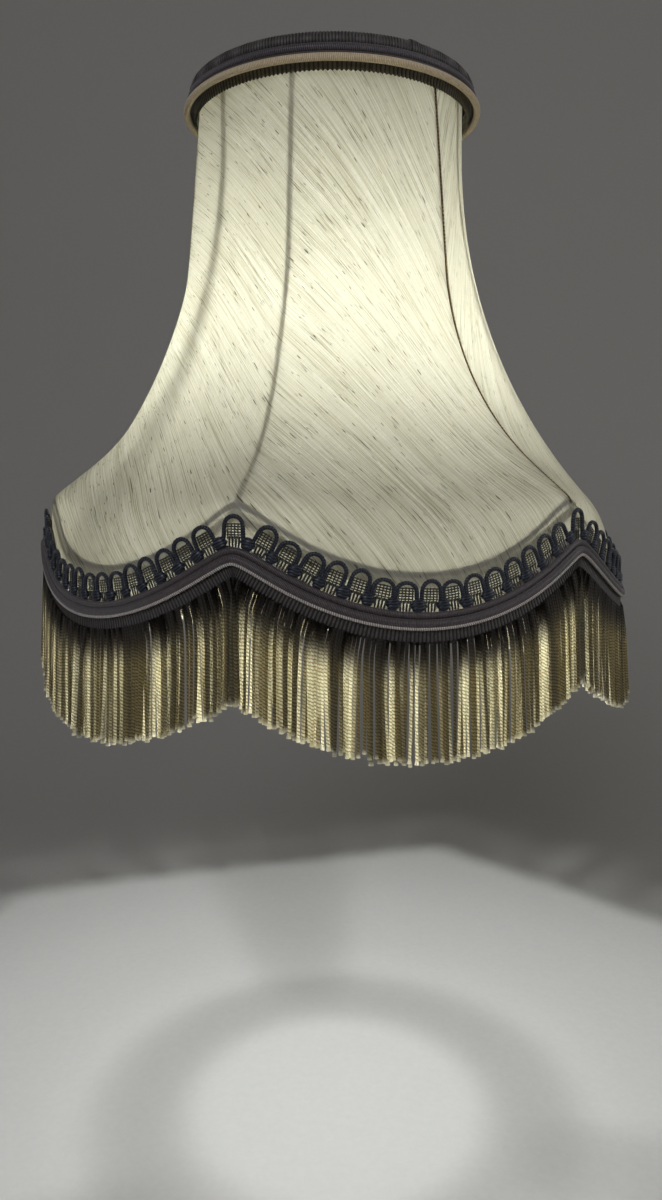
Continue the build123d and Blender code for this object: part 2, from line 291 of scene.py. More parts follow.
# Yarn laid round a core: fine slanted plies that catch the light. Plies are plyMm apart along the cord
# and lean by one ply in wrapMm round it, or none. The real plies are about half as wide.
def cordMaterial(name, light, dark, plyMm, wrapMm, gloss, translucent=0.0, rootShadeColour=None, dullColour=None):
    look = {"groove": (0.04, 0.34), "mottlePerMm": 0.8, "tone": (0.05, 0.6), "sheen": 0.3,
            "sheenRoughness": 0.35, "ior": 1.5, "bump": 0.6, "bumpMm": 0.3}
    material, tree = newMaterial(name)
    uv = addNode(tree, "UVMap", {"uv_map": "pattern"})
    parts = addNode(tree, "SeparateXYZ", {}, {"Vector": uv.outputs["UV"]})
    along = addNode(tree, "Math", {"operation": "MULTIPLY"}, {0: parts.outputs["Y"]}, {1: 1 / plyMm})
    slanted = addNode(tree, "Math", {"operation": "MULTIPLY_ADD"},
                      {0: parts.outputs["X"], 2: along.outputs[0]}, {1: 1 / wrapMm if wrapMm else 0.0})
    wave = addNode(tree, "Math", {"operation": "PINGPONG"}, {0: slanted.outputs[0]}, {1: 0.5})
    ply = addNode(tree, "MapRange", {"interpolation_type": "SMOOTHSTEP"}, {"Value": wave.outputs[0]},
                  {"From Min": look["groove"][0], "From Max": look["groove"][1]})
    mottle = addNode(tree, "TexNoise", {"noise_dimensions": "2D"}, {"Vector": uv.outputs["UV"]},
                     {"Scale": look["mottlePerMm"], "Detail": 4.0, "Roughness": 0.65})
    tone = addNode(tree, "Math", {"operation": "MULTIPLY"}, {0: ply.outputs[0], 1: mottle.outputs["Fac"]})
    lift = addNode(tree, "MapRange", {}, {"Value": tone.outputs[0]},
                   {"From Min": look["tone"][0], "From Max": look["tone"][1]})
    # The colour is lighter on each ply's crest and darker in its grooves: painted highlight and painted
    # shade, broken up by a random mottle
    colour = addNode(tree, "Mix", {"data_type": "RGBA"}, {0: lift.outputs[0]},
                     {6: srgb(dark), 7: srgb(light)})
    shown, share = colour.outputs[2], None
    if dullColour:
        shown, share = dulledCords(tree, shown, dullColour, translucent)
    if rootShadeColour:
        shown = paintRootShadeAndTip(tree, shown, rootShadeColour)
    bump = addNode(tree, "Bump", {}, {"Height": ply.outputs[0]},
                   {"Strength": look["bump"], "Distance": look["bumpMm"] * mm})
    front = addNode(tree, "BsdfPrincipled", {}, {"Base Color": shown, "Normal": bump.outputs["Normal"]},
                    {"Roughness": gloss, "Sheen Weight": look["sheen"],
                     "Sheen Roughness": look["sheenRoughness"], "IOR": look["ior"]})
    surface = front.outputs[0]
    if translucent:
        behind = addNode(tree, "BsdfTranslucent", {}, {"Color": shown, "Normal": bump.outputs["Normal"]})
        both = addNode(tree, "MixShader", {}, {1: front.outputs[0], 2: behind.outputs[0]}, {0: translucent})
        if share:
            tree.links.new(share, both.inputs[0])
        surface = both.outputs[0]
    addNode(tree, "OutputMaterial", {}, {"Surface": surface})
    return material


# Some cords are turned so that little light comes through, and others glow: each has its own tint
def dulledCords(tree, shown, dullColour, translucent):
    dullest, brightest, leastShare = 0.30, 0.72, 0.6
    tint = addNode(tree, "Attribute", {"attribute_name": "tint"})
    glow = addNode(tree, "MapRange", {"interpolation_type": "SMOOTHSTEP"}, {"Value": tint.outputs["Fac"]},
                   {"From Min": dullest, "From Max": brightest})
    dulled = addNode(tree, "Mix", {"data_type": "RGBA", "blend_type": "MULTIPLY"}, {6: shown},
                     {0: 1.0, 7: srgb(dullColour)})
    mixed = addNode(tree, "Mix", {"data_type": "RGBA"}, {0: glow.outputs[0], 6: dulled.outputs[2], 7: shown})
    share = addNode(tree, "MapRange", {}, {"Value": glow.outputs[0]},
                    {"To Min": translucent * leastShare, "To Max": translucent})
    return mixed.outputs[2], share.outputs[0]


# Cords are painted darker towards the root, from 0 to 1 of the attribute: painted shade under the heading.
# They are frayed pale at the tip, from 1 to 2
def paintRootShadeAndTip(tree, shown, rootShadeColour):
    frayedColour = "FFFBE8"
    shadeAndFray = addNode(tree, "Attribute", {"attribute_name": "shadeAndFray"})
    rooted = addNode(tree, "MapRange", {"interpolation_type": "SMOOTHSTEP"}, {"Value": shadeAndFray.outputs["Fac"]})
    cord = addNode(tree, "Mix", {"data_type": "RGBA"}, {0: rooted.outputs[0], 7: shown},
                   {6: srgb(rootShadeColour)})
    frayed = addNode(tree, "MapRange", {}, {"Value": shadeAndFray.outputs["Fac"]}, {"From Min": 1.0, "From Max": 2.0})
    tipped = addNode(tree, "Mix", {"data_type": "RGBA"}, {0: frayed.outputs[0], 6: cord.outputs[2]},
                     {7: srgb(frayedColour)})
    return tipped.outputs[2]


# Epoxy powder coat on steel wire: off-white, slightly pebbled, satin
def steelMaterial():
    look = {"dull": "B9B3A2", "clean": "E9E6DC", "pebblesPerM": 900.0, "stainsPerM": 25.0,
            "roughness": (0.34, 0.52), "ior": 1.52, "coat": 0.15, "coatRoughness": 0.3}
    material, tree = newMaterial("whiteCoatedSteel")
    place = addNode(tree, "TexCoord")
    pebble = addNode(tree, "TexNoise", {}, {"Vector": place.outputs["Object"]},
                     {"Scale": look["pebblesPerM"], "Detail": 3.0})
    stain = addNode(tree, "TexNoise", {}, {"Vector": place.outputs["Object"]},
                    {"Scale": look["stainsPerM"], "Detail": 4.0})
    tone = addNode(tree, "Mix", {"data_type": "RGBA"}, {0: stain.outputs["Fac"]},
                   {6: srgb(look["dull"]), 7: srgb(look["clean"])})
    rough = addNode(tree, "MapRange", {}, {"Value": stain.outputs["Fac"]},
                    {"To Min": look["roughness"][0], "To Max": look["roughness"][1]})
    bump = addNode(tree, "Bump", {}, {"Height": pebble.outputs["Fac"]},
                   {"Strength": 0.15, "Distance": 0.0002})
    front = addNode(tree, "BsdfPrincipled", {},
                    {"Base Color": tone.outputs[2], "Roughness": rough.outputs[0],
                     "Normal": bump.outputs["Normal"]},
                    {"IOR": look["ior"], "Coat Weight": look["coat"],
                     "Coat Roughness": look["coatRoughness"]})
    addNode(tree, "OutputMaterial", {}, {"Surface": front.outputs[0]})
    return material


# Unbleached cotton tape, plain weave, wound at a slant: matt, warm and a little hairy
def tapeMaterial():
    look = {"shaded": "B8AA88", "lit": "E8DFC6", "bandsPerM": 260.0, "fluffPerM": 400.0,
            "roughness": 0.85, "sheen": 0.2}
    material, tree = newMaterial("cottonTape")
    place = addNode(tree, "TexCoord")
    weave = addNode(tree, "TexWave", {"wave_type": "BANDS", "bands_direction": "DIAGONAL"},
                    {"Vector": place.outputs["Object"]},
                    {"Scale": look["bandsPerM"], "Distortion": 1.5, "Detail": 2.0})
    fluff = addNode(tree, "TexNoise", {}, {"Vector": place.outputs["Object"]},
                    {"Scale": look["fluffPerM"], "Detail": 4.0})
    tone = addNode(tree, "Mix", {"data_type": "RGBA"}, {0: fluff.outputs["Fac"]},
                   {6: srgb(look["shaded"]), 7: srgb(look["lit"])})
    bump = addNode(tree, "Bump", {}, {"Height": weave.outputs["Fac"]}, {"Strength": 0.4, "Distance": 0.0003})
    front = addNode(tree, "BsdfPrincipled", {},
                    {"Base Color": tone.outputs[2], "Normal": bump.outputs["Normal"]},
                    {"Roughness": look["roughness"], "Sheen Weight": look["sheen"]})
    addNode(tree, "OutputMaterial", {}, {"Surface": front.outputs[0]})
    return material


dupion = dupionMaterial()
coatedSteel = steelMaterial()
cottonTape = tapeMaterial()
# viscose rayon over a cotton core, laid tight: nearly black with a hard cool gleam on each ply
blackCord = cordMaterial("glossyRayonCord", "3C4250", "0B0D13", 0.9, 3.9, 0.30)
# rayon thread wound square over a roll: fine ribs and a soft brown-grey band of light
gimpSatin = cordMaterial("rayonGimp", "6E6465", "312C2D", 0.55, 0, 0.38)
# the thin bright cord that edges the lower roll
edgeCord = cordMaterial("silverRayonEdging", "E6DED6", "8A827C", 0.8, 3.6, 0.34)
# rayon warp over a cotton weft, woven as ribs: dark, with a dull shine on the ribs
headingRib = cordMaterial("wovenHeading", "5E5854", "232021", 1.25, 0, 0.5)
# the same weave in olive
oliveHeading = cordMaterial("oliveHeading", "6B6450", "37331F", 1.8, 0, 0.6)
# plaited rayon over a soft core: beige, slightly glossy
beigePiping = cordMaterial("beigeRayonPiping", "F4E4C4", "C2A880", 0.7, 9.4, 0.42)
# two rayon yarns twisted together: cream, silky, and the light inside the shade comes through them
# its dark root colour is painted shade under the heading
fringeYarn = cordMaterial("twistedRayonFringe", "FFFDF0", "B4A880", 1.1, 3.4, 0.38, translucent=0.94,
                          rootShadeColour="4A443E", dullColour="B0A88E")
# single rayon threads, grey and dull
netThread = cordMaterial("rayonNetThread", "5C5B4C", "2B2B24", 0.6, 0, 0.5)
# dark brown and quite matt: painted shade, a band that stands for the bottom wire's shadow seen through the
# cloth
wireShadeMaterial = cordMaterial("paintedWireShade", "4C3C2A", "2A2016", 0.5, 0, 0.8)
# the folded edges of the silk, which look brown because the light has four layers to come through
seamSilk = cordMaterial("seamSilk", "8A6C34", "4A3818", 1.5, 0, 0.6)
# corded rayon over the top ring: grey-brown with a soft gleam
ropeSilk = cordMaterial("topRopeRayon", "6C646A", "262326", 0.8, 5.5, 0.42)
# buttonhole silk: pale gold and glossy
stitchSilk = cordMaterial("stitchSilk", "F2DFA0", "B89850", 0.6, 0, 0.35)
print("materials made")


# cover: two bias-cut halves, each over three panels

cloth = {
    "topZ": peakZ + 173.0, "topRadius": 57.7,
    # on a strut: two straight runs with a bend between them, and the turn over the wire
    "upperSlope": 0.0942, "lowerSlope": 1.295, "waistBend": 117.5, "skirtPeakRadius": 126.4, "peakRoll": 8.0,
    # in the middle of a panel: a straight run, a long hollow, a roll over the wire, and the skirt
    "midTopRadius": 57.0, "straightEnd": peakZ + 148.8, "hollow": 225.5, "roll": 37.7, "skirtFlare": 0.2,
    # how far the cloth spans clear of the struts between the seams
    "lift": 1.0, "liftSpan": 100.0, "liftFade": 45.0, "touchGap": 2.5, "seamEvery": 3,
    "thickness": 0.45, "columns": 216, "rows": 130,
    # the pattern: how much of a circle its flat fan opens, slant in degrees, shift between the halves
    "fan": 0.30, "slant": 50.0, "patternShift": 700,
}
clothEdge = {"radius": 126.5, "peak": peakZ - 14.0, "dip": peakZ - 38.0, "soften": 3.0}


# Cloth radius on a strut
def strutLine(height):
    topR, topZ = cloth["topRadius"], cloth["topZ"]
    upper, lower, bend = cloth["upperSlope"], cloth["lowerSlope"], cloth["waistBend"]
    cornerZ = ((shade["peakRadius"] + lower * peakZ) - (topR + upper * topZ)) / (lower - upper)
    cornerR = topR + upper * (topZ - cornerZ)
    halfTurn = (math.atan(lower) - math.atan(upper)) / 2
    reach = bend * math.tan(halfTurn)
    upperLength, lowerLength = math.hypot(upper, 1), math.hypot(lower, 1)
    bendTop = cornerZ + reach / upperLength
    bendEnd = cornerZ - reach / lowerLength
    centreR = cornerR - upper / upperLength * reach + bend / upperLength
    centreZ = bendTop + bend * upper / upperLength
    lean = math.atan(lower)
    rollR = cloth["skirtPeakRadius"] - cloth["peakRoll"]
    runEnd = peakZ - (rollR + cloth["peakRoll"] * math.cos(lean) - shade["peakRadius"]) / lower
    rollZ = runEnd - cloth["peakRoll"] * math.sin(lean)
    if height >= bendTop:
        return topR + upper * (topZ - height)
    if height >= bendEnd:
        return centreR - math.sqrt(bend ** 2 - (height - centreZ) ** 2)
    if height >= runEnd:
        return shade["peakRadius"] + lower * (peakZ - height)
    if height >= rollZ:
        return rollR + math.sqrt(cloth["peakRoll"] ** 2 - (height - rollZ) ** 2)
    return cloth["skirtPeakRadius"]


# Cloth radius in the middle of a panel
def middleLine(height):
    hollowR = cloth["midTopRadius"] + cloth["hollow"]
    rollR, rollZ = shade["dipRadius"] - cloth["roll"], peakZ - shade["scallopDepth"]
    turnZ = rollZ + cloth["roll"] * (cloth["straightEnd"] - rollZ) / (cloth["hollow"] + cloth["roll"])
    if height >= cloth["straightEnd"]:
        return cloth["midTopRadius"]
    if height >= turnZ:
        return hollowR - math.sqrt(cloth["hollow"] ** 2 - (cloth["straightEnd"] - height) ** 2)
    if height >= rollZ:
        return rollR + math.sqrt(cloth["roll"] ** 2 - (height - rollZ) ** 2)
    return shade["dipRadius"] + cloth["skirtFlare"] * (rollZ - height)


# Cloth radius anywhere: tight on the two seam struts, spanning clear of the others at the waist
def clothRadius(azimuth, height):
    index = round((azimuth - shade["firstStrut"]) / panelAngle)
    fromStrut = abs(azimuth - shade["firstStrut"] - panelAngle * index) / halfPanel
    onStrut, middle = strutLine(height), middleLine(height)
    if index % cloth["seamEvery"] == 0:
        return middle + (onStrut - middle) * (1 - fromStrut) ** 2
    belowTop = min(1, (cloth["topZ"] - height) / cloth["liftSpan"])
    aboveEdge = max(0, min(1, (height - clothEdge["dip"]) / cloth["liftFade"]))
    spanned = middle + cloth["lift"] * belowTop * aboveEdge
    gap = onStrut - spanned
    held = (onStrut + spanned + math.sqrt(gap ** 2 + 1)) / 2
    touching = max(0, min(1, gap / cloth["touchGap"]))
    eased = (1 + math.cos(math.pi * fromStrut)) / 2
    creased = (1 - fromStrut) ** 2
    return middle + (held - middle) * (eased + (creased - eased) * touching)


# The pattern is laid out as a flat fan, so the yarns are straight on it and turn against the struts
def coverHalf(name, node, start, bias):
    columns, rows = cloth["columns"], cloth["rows"]
    azimuths = [start + 180 * i / columns for i in range(columns + 1)]
    fan, slant = cloth["fan"], math.radians(bias * cloth["slant"])
    yarnWay = np.array([math.sin(slant), -math.cos(slant)])
    acrossWay = np.array([math.cos(slant), math.sin(slant)])
    points, patterns = {}, {}
    for i, azimuth in enumerate(azimuths):
        edge = scallopZ(clothEdge, azimuth)
        opened = fan * math.radians(azimuth - start - 90)
        turns = 0.0
        lastR = lastZ = None
        for j in range(rows + 1):
            height = cloth["topZ"] + (edge - cloth["topZ"]) * j / rows
            radius = clothRadius(azimuth, height) - cloth["thickness"]
            if lastR is not None:
                turns += math.hypot(radius - lastR, height - lastZ) / ((radius + lastR) / 2)
            lastR, lastZ = radius, height
            points[(i, j)] = around(radius, azimuth, height)
            reach = cloth["topRadius"] / fan * math.exp(fan * turns)
            flat = np.array([reach * math.sin(opened), -reach * math.cos(opened)])
            patterns[(i, j)] = (flat @ acrossWay + bias * cloth["patternShift"], flat @ yarnWay)
    piece = wrapGrid(name, columns, rows, lambda i, j: points[(i, j)], lambda i, j: patterns[(i, j)])
    applyModifier(piece, "SOLIDIFY", thickness=cloth["thickness"] * mm, offset=1.0)
    finishPiece(piece, dupion, [node])
    clothArea(azimuths)
    return piece


# Flat area of one half in square metres, added up from the shape itself in strips a few columns wide
def clothArea(azimuths):
    total, rows, stride = 0.0, 40, 6
    wide = math.radians(180 / (len(azimuths) - 1) * stride)
    for azimuth in azimuths[:-1:stride]:
        edge = scallopZ(clothEdge, azimuth)
        heights = [cloth["topZ"] + (edge - cloth["topZ"]) * j / rows for j in range(rows + 1)]
        radii = [clothRadius(azimuth, h) for h in heights]
        for j in range(rows):
            slant = math.hypot(radii[j + 1] - radii[j], heights[j + 1] - heights[j])
            total += slant * (radii[j + 1] + radii[j]) / 2 * wide
    return total * mm * mm


coverHalf("silkCoverFront", "cover_front", shade["firstStrut"] - 180, 1)
coverHalf("silkCoverBack", "cover_back", shade["firstStrut"], -1)
print("cover made")


# tubes, and the frame of one place on a trim

# Cord or roll along a path in millimetres, with an oval section; its UV is in millimetres
def tube(name, path, outward, halfHeight, halfDepth, sides, closed):
    count = len(path) - 1
    ends = [path[(i + 1) % count] - path[(i - 1) % count] if closed
            else path[min(i + 1, count)] - path[max(i - 1, 0)] for i in range(count + 1)]
    along = [0.0]
    for i in range(count):
        along.append(along[-1] + (path[i + 1] - path[i]).length)
    girth = math.pi * (halfHeight + halfDepth)

    def place(i, j):
        turn = 2 * math.pi * (j % sides) / sides
        index = i % count if closed else i
        up = outward[index].cross(ends[index]).normalized()
        rise, depth = halfHeight * math.sin(turn), halfDepth * math.cos(turn)
        return (path[index] + up * rise + outward[index] * depth) * mm

    return wrapGrid(name, count, sides, place, lambda i, j: (girth * j / sides, along[i]), fineMergeGap)


# Origin and the three directions of one place on a trim: along it, square to it, and outwards
def placeFrame(radius, azimuth, height, lean):
    angle = math.radians(azimuth)
    east = Vector((math.cos(angle), math.sin(angle), 0))
    out = Vector((math.sin(angle), -math.cos(angle), 0))
    up = Vector((0, 0, 1))
    along = east * math.cos(lean) + up * math.sin(lean)
    square = up * math.cos(lean) - east * math.sin(lean)
    return around(radius, azimuth, height), along, square, out


# A mover that sets a shape modelled in millimetres (along, square, out) into one place
def setInto(frameHere):
    origin, along, square, out = frameHere
    axes = np.array([along, square, out]) * mm
    return lambda points: points @ axes + np.array(origin)


# A roll that follows the scalloped line at a distance across it
def lineTube(name, line, across, out, halfHeight, halfDepth, sides, count=720):
    azimuth, height, lean, _ = trimLine(line, count)
    path = [offLine(line["radius"], a, z, l, across, out) / mm for a, z, l in zip(azimuth, height, lean)]
    outward = [Vector((p.x, p.y, 0)).normalized() for p in path]
    return tube(name, path, outward, halfHeight, halfDepth, sides, closed=True)


# a dark band inside the cloth just above the loops, painted shade that stands for the bottom wire's shadow;
# and the two stitched seams

shadeBand = {"height": 2.0, "inside": 0.06, "thickness": 0.3, "columns": 360, "rows": 4, "columnMm": 2.2}
shadeBandTop = {"radius": 126.0, "peak": peakZ - 0.6, "dip": peakZ - 24.6, "soften": 4.0}
seam = {"half": 0.55, "depth": 0.25, "out": 0.1, "topZ": peakZ + 163.0, "endZ": peakZ - 2.0, "steps": 150}
stitch = {"spacing": 1.45, "half": 0.30, "long": 0.52, "depth": 0.24, "out": 0.35, "drift": 0.12,
          "topZ": peakZ + 118.0, "endZ": peakZ + 1.0, "fineSteps": 900, "seed": 5}


# A dark band just inside the cloth that follows the scallops: painted shade for the bottom wire's shadow
def makeWireShadeBand():
    columns, rows = shadeBand["columns"], shadeBand["rows"]

    def place(i, j):
        azimuth = 360 * (i % columns) / columns
        height = scallopZ(shadeBandTop, azimuth) - shadeBand["height"] * j / rows
        return around(clothRadius(azimuth, height) - cloth["thickness"] - shadeBand["inside"], azimuth, height)

    piece = wrapGrid("wireShadeBand", columns, rows, place,
                     lambda i, j: (j * 1.0, i * shadeBand["columnMm"]), fineMergeGap)
    applyModifier(piece, "SOLIDIFY", thickness=shadeBand["thickness"] * mm, offset=-1.0)
    finishPiece(piece, wireShadeMaterial)


# Points down a strut on the outside of the cloth, in millimetres
def seamPath(azimuth, out, top, end, steps):
    heights = [top + (end - top) * i / steps for i in range(steps + 1)]
    return [around(clothRadius(azimuth, h) + out, azimuth, h) / mm for h in heights]


def makeSeams():
    for name, azimuth in (("seamRight", shade["firstStrut"]), ("seamLeft", shade["firstStrut"] + 180)):
        path = seamPath(azimuth, seam["out"], seam["topZ"], seam["endZ"], seam["steps"])
        out = around(1, azimuth, 0) / mm
        fold = tube(name + "Fold", path, [out] * len(path), seam["half"], seam["depth"], 6, closed=False)
        finishPiece(fold, seamSilk)
        fine = seamPath(azimuth, stitch["out"], stitch["topZ"], stitch["endZ"], stitch["fineSteps"])
        rng = random.Random(stitch["seed"])
        placements, travelled = [], 0.0
        for before, here in zip(fine, fine[1:]):
            travelled += (here - before).length
            if travelled < stitch["spacing"]:
                continue
            travelled = 0.0
            square = (before - here).normalized()
            along = square.cross(out).normalized()
            drift = along * (rng.uniform(stitch["drift"], -stitch["drift"]) * mm)
            placements.append((setInto((here * mm + drift, along, square, out)), rng.random() * 5))
        finishPiece(tile(name + "Stitches", stitchShape(), placements), stitchSilk)


def stitchShape():
    deselectAll()
    bpy.ops.mesh.primitive_uv_sphere_add(segments=8, ring_count=6, radius=1.0)
    shape = bpy.context.object
    for vertex in shape.data.vertices:
        x, y, z = vertex.co
        vertex.co = Vector((x * stitch["half"], z * stitch["long"], y * stitch["depth"]))
    cleanMesh(shape)
    return shape


makeWireShadeBand()
makeSeams()
print("hem and seams made")


# loop braid: a glossy cord in arches, a net behind them, twisted knots between them

footLine = {"radius": 128.0, "peak": peakZ - 15.6, "dip": peakZ - 37.9, "soften": 6.0}
loops = {"perScallop": 16, "out": 0.7, "seed": 11, "tintSpan": 8}
arch = {"half": 3.35, "footHalf": 3.75, "top": 11.3, "cordHalf": 0.8, "steps": 14, "legSteps": 3,
        "lean": 0.05, "stretch": (0.93, 1.06)}
knot = {"height": 4.8, "half": 2.7, "depth": 1.35, "rise": 2.1, "out": 0.25, "twist": 3.2, "swell": 0.16,
        "lean": 0.12, "plump": (0.88, 1.12), "patternMm": (7.0, 6.0)}
net = {"threads": 5, "rungs": 6, "half": 2.5, "foot": 3.2, "top": 8.2, "threadHalf": 0.24, "out": -0.35,
       "gimpThreads": 4, "gimpHalf": 0.36, "gimpSpread": 1.5, "gimpFoot": -1.5}


# One arch of the cord: two legs that spread a little at the foot, and a round head
def archShape():
    path, half, foot = [], arch["half"], arch["footHalf"]
    steps, legSteps = arch["steps"], arch["legSteps"]
    spring = arch["top"] - half - arch["cordHalf"]
    for i in range(steps + 1):
        turn = math.pi * min(max((i - legSteps) / (steps - 2 * legSteps), 0), 1)
        fromEnd = min(i, steps - i) / legSteps
        side = -1 if i < legSteps else 1
        if fromEnd < 1:
            path.append(Vector((side * (foot - (foot - half) * fromEnd), spring * fromEnd, 0)))
        else:
            path.append(Vector((-half * math.cos(turn), spring + half * math.sin(turn), 0)))
    outward = [Vector((0, 0, 1))] * len(path)
    return scaledUp(tube("archShape", path, outward, arch["cordHalf"], arch["cordHalf"], 8, closed=False))


# A shape modelled at its real size, taken to millimetres for setting into place
def scaledUp(shape):
    selectOnly(shape)
    shape.scale = (1000, 1000, 1000)
    bpy.ops.object.transform_apply(location=False, rotation=False, scale=True)
    return shape


# A twisted knot of cord: a ball drawn out, with two plies wound round it
def knotShape():
    deselectAll()
    bpy.ops.mesh.primitive_uv_sphere_add(segments=10, ring_count=8, radius=1.0)
    shape = bpy.context.object
    for vertex in shape.data.vertices:
        x, y, z = vertex.co
        turn = math.atan2(y, x) + knot["twist"] * z
        swell = 1 + knot["swell"] * math.cos(2 * turn)
        vertex.co = Vector((x * knot["half"] * swell, z * knot["height"] / 2, y * knot["depth"] * swell))
    cleanMesh(shape)
    across, up = knot["patternMm"]
    for corner in shape.data.uv_layers[0].data:
        corner.uv = (corner.uv[0] * across, corner.uv[1] * up)
    return shape


# The open net inside an arch: upright threads and rungs, and thicker threads that run on down
def netShape():
    half, foot, top = net["half"], net["foot"], net["top"]
    lines = []
    for i in range(net["threads"]):
        side = -half + 2 * half * i / (net["threads"] - 1)
        head = Vector((side * 0.95, top - 0.5 * (side / half) ** 2, 0))
        lines.append((Vector((side, foot - 0.6, 0)), head, net["threadHalf"]))
    for i in range(net["rungs"]):
        level = foot + (top - foot - 0.4) * i / (net["rungs"] - 1)
        ends = Vector((-half - 0.3, level, 0.2)), Vector((half + 0.3, level, 0.2))
        lines.append((*ends, net["threadHalf"]))
    for i in range(net["gimpThreads"]):
        side = net["gimpSpread"] * (2 * i / (net["gimpThreads"] - 1) - 1)
        head = Vector((side * 1.25, foot + 0.4, 0.3))
        lines.append((Vector((side, net["gimpFoot"], 0.5)), head, net["gimpHalf"]))
    threads = []
    for index, (start, end, thick) in enumerate(lines):
        path = [start, (start + end) / 2 + Vector((0, 0, 0.1)), end]
        threads.append(tube(f"netLine{index}", path, [Vector((0, 0, 1))] * 3, thick, thick, 4, closed=False))
    deselectAll()
    for thread in threads:
        thread.select_set(True)
    bpy.context.view_layer.objects.active = threads[0]
    bpy.ops.object.join()
    return scaledUp(threads[0])


def makeLoopBraid():
    rng = random.Random(loops["seed"])
    radius, span = footLine["radius"], loops["tintSpan"]
    count = loops["perScallop"] * shade["panels"]
    azimuth, height, lean, _ = trimLine(footLine, count * 2)
    arches, knots, nets = [], [], []
    for i in range(count):
        a, z, l = azimuth[2 * i], height[2 * i], lean[2 * i] + rng.uniform(-arch["lean"], arch["lean"])
        stretch = rng.uniform(*arch["stretch"])
        place = setInto(placeFrame(radius + loops["out"], a, z, l))
        arches.append((lambda p, go=place, k=stretch: go(p * np.array([2 - k, k, 1])), rng.random() * span))
        nets.append((setInto(placeFrame(radius + net["out"], a, z, l)), rng.random() * span))
        a, z, l = azimuth[2 * i + 1], height[2 * i + 1], lean[2 * i + 1]
        l += rng.uniform(-knot["lean"], knot["lean"])
        origin, along, square, out = placeFrame(radius + loops["out"] + knot["out"], a, z, l)
        place = setInto((origin + square * (knot["rise"] * mm), along, square, out))
        plump = rng.uniform(*knot["plump"])
        knots.append((lambda p, go=place, k=plump: go(p * np.array([k, 1, k])), rng.random() * span))
    finishPiece(tile("loopBraidArches", archShape(), arches), blackCord, ["loop_braid"])
    finishPiece(tile("loopBraidKnots", knotShape(), knots), blackCord)
    finishPiece(tile("loopBraidNet", netShape(), nets), netThread)


makeLoopBraid()
print("loop braid made")


# gimp rolls under the loops, with a fine ridge and a pale edging cord

# how far below the loops' feet and how far out, half height, half depth, sides
rolls = {"upper": (-1.2, 1.4, 1.3, 1.1, 10), "lower": (-4.0, 2.0, 1.6, 1.6, 10),
         "ridge": (-2.6, 2.5, 0.32, 0.3, 6), "edging": (-5.55, 2.9, 0.6, 0.55, 6)}


def makeRolls():
    finishPiece(lineTube("upperRoll", footLine, *rolls["upper"]), gimpSatin, ["upper_roll"])
    finishPiece(lineTube("lowerRoll", footLine, *rolls["lower"]), gimpSatin, ["lower_roll"])
    finishPiece(lineTube("ridgeRoll", footLine, *rolls["ridge"]), gimpSatin)
    finishPiece(lineTube("edgingRoll", footLine, *rolls["edging"]), edgeCord)


makeRolls()
print("rolls made")


# fringe: a ribbed heading and about a thousand twisted cords

ribWave = (0, 0.7, 1.0, 0.7)     # one rib of a woven band, over four columns
heading = {"top": -5.3, "bottom": -10.9, "ribMm": 1.25, "ribDepth": 0.28, "out": 1.5, "rows": 6,
           "thickness": 0.7, "hook": 0.35}
fringe = {
    "seed": 23, "pitch": 1.12, "halfThickness": 0.6, "length": 42.0, "sides": 6, "segments": 8,
    "rows": (1.0, 0.45),         # how many of the places each row fills, front row first
    "rowShift": 0.56, "rowBack": 1.1, "out": 2.0, "startUp": 0.8,
    "bend": 5.0, "flare": 2.2,   # how soon a cord hangs plumb, and how far its foot stands out
    "crowdReach": 9.0, "closeUp": 0.92,
    # where the painted root shade starts and how far it runs, then the frayed tip
    "darkFrom": 2.0, "darkLength": 14.0, "tipMm": 1.6, "tipWide": 1.45, "frayed": 0.999,
}


def makeHeading():
    radius, rows = footLine["radius"], heading["rows"]
    wholeLength = trimLine(footLine, 2)[3][-1]
    columns = round(wholeLength / heading["ribMm"]) * len(ribWave)
    azimuth, height, lean, length = trimLine(footLine, columns)

    def place(i, j):
        i = i % columns
        across = heading["bottom"] + (heading["top"] - heading["bottom"]) * j / rows
        hook = heading["hook"] if j == 0 and i % 4 in (1, 2) else 0.0
        rib = ribWave[i % 4] * heading["ribDepth"]
        return offLine(radius, azimuth[i], height[i], lean[i], across - hook, heading["out"] + rib)

    piece = wrapGrid("fringeHeading", columns, rows, place, lambda i, j: (j * 1.0, length[i]), fineMergeGap)
    applyModifier(piece, "SOLIDIFY", thickness=heading["thickness"] * mm, offset=-1.0)
    finishPiece(piece, headingRib, ["fringe_heading"])


# One cord of the fringe, hanging down from 0 to -1 and one unit thick, with a short last segment as its tip
def cordShape():
    sides, segments, length = fringe["sides"], fringe["segments"], fringe["length"]
    girth = 2 * math.pi * fringe["halfThickness"]

    def place(i, j):
        turn = 2 * math.pi * (j % sides) / sides
        level = min(i / (segments - 1) * (1 - fringe["tipMm"] / length), 1) if i < segments else 1
        return Vector((math.cos(turn), math.sin(turn), -level))

    return wrapGrid("cordShape", segments, sides, place,
                    lambda i, j: (girth * (0.5 - j / sides), length * i / segments))


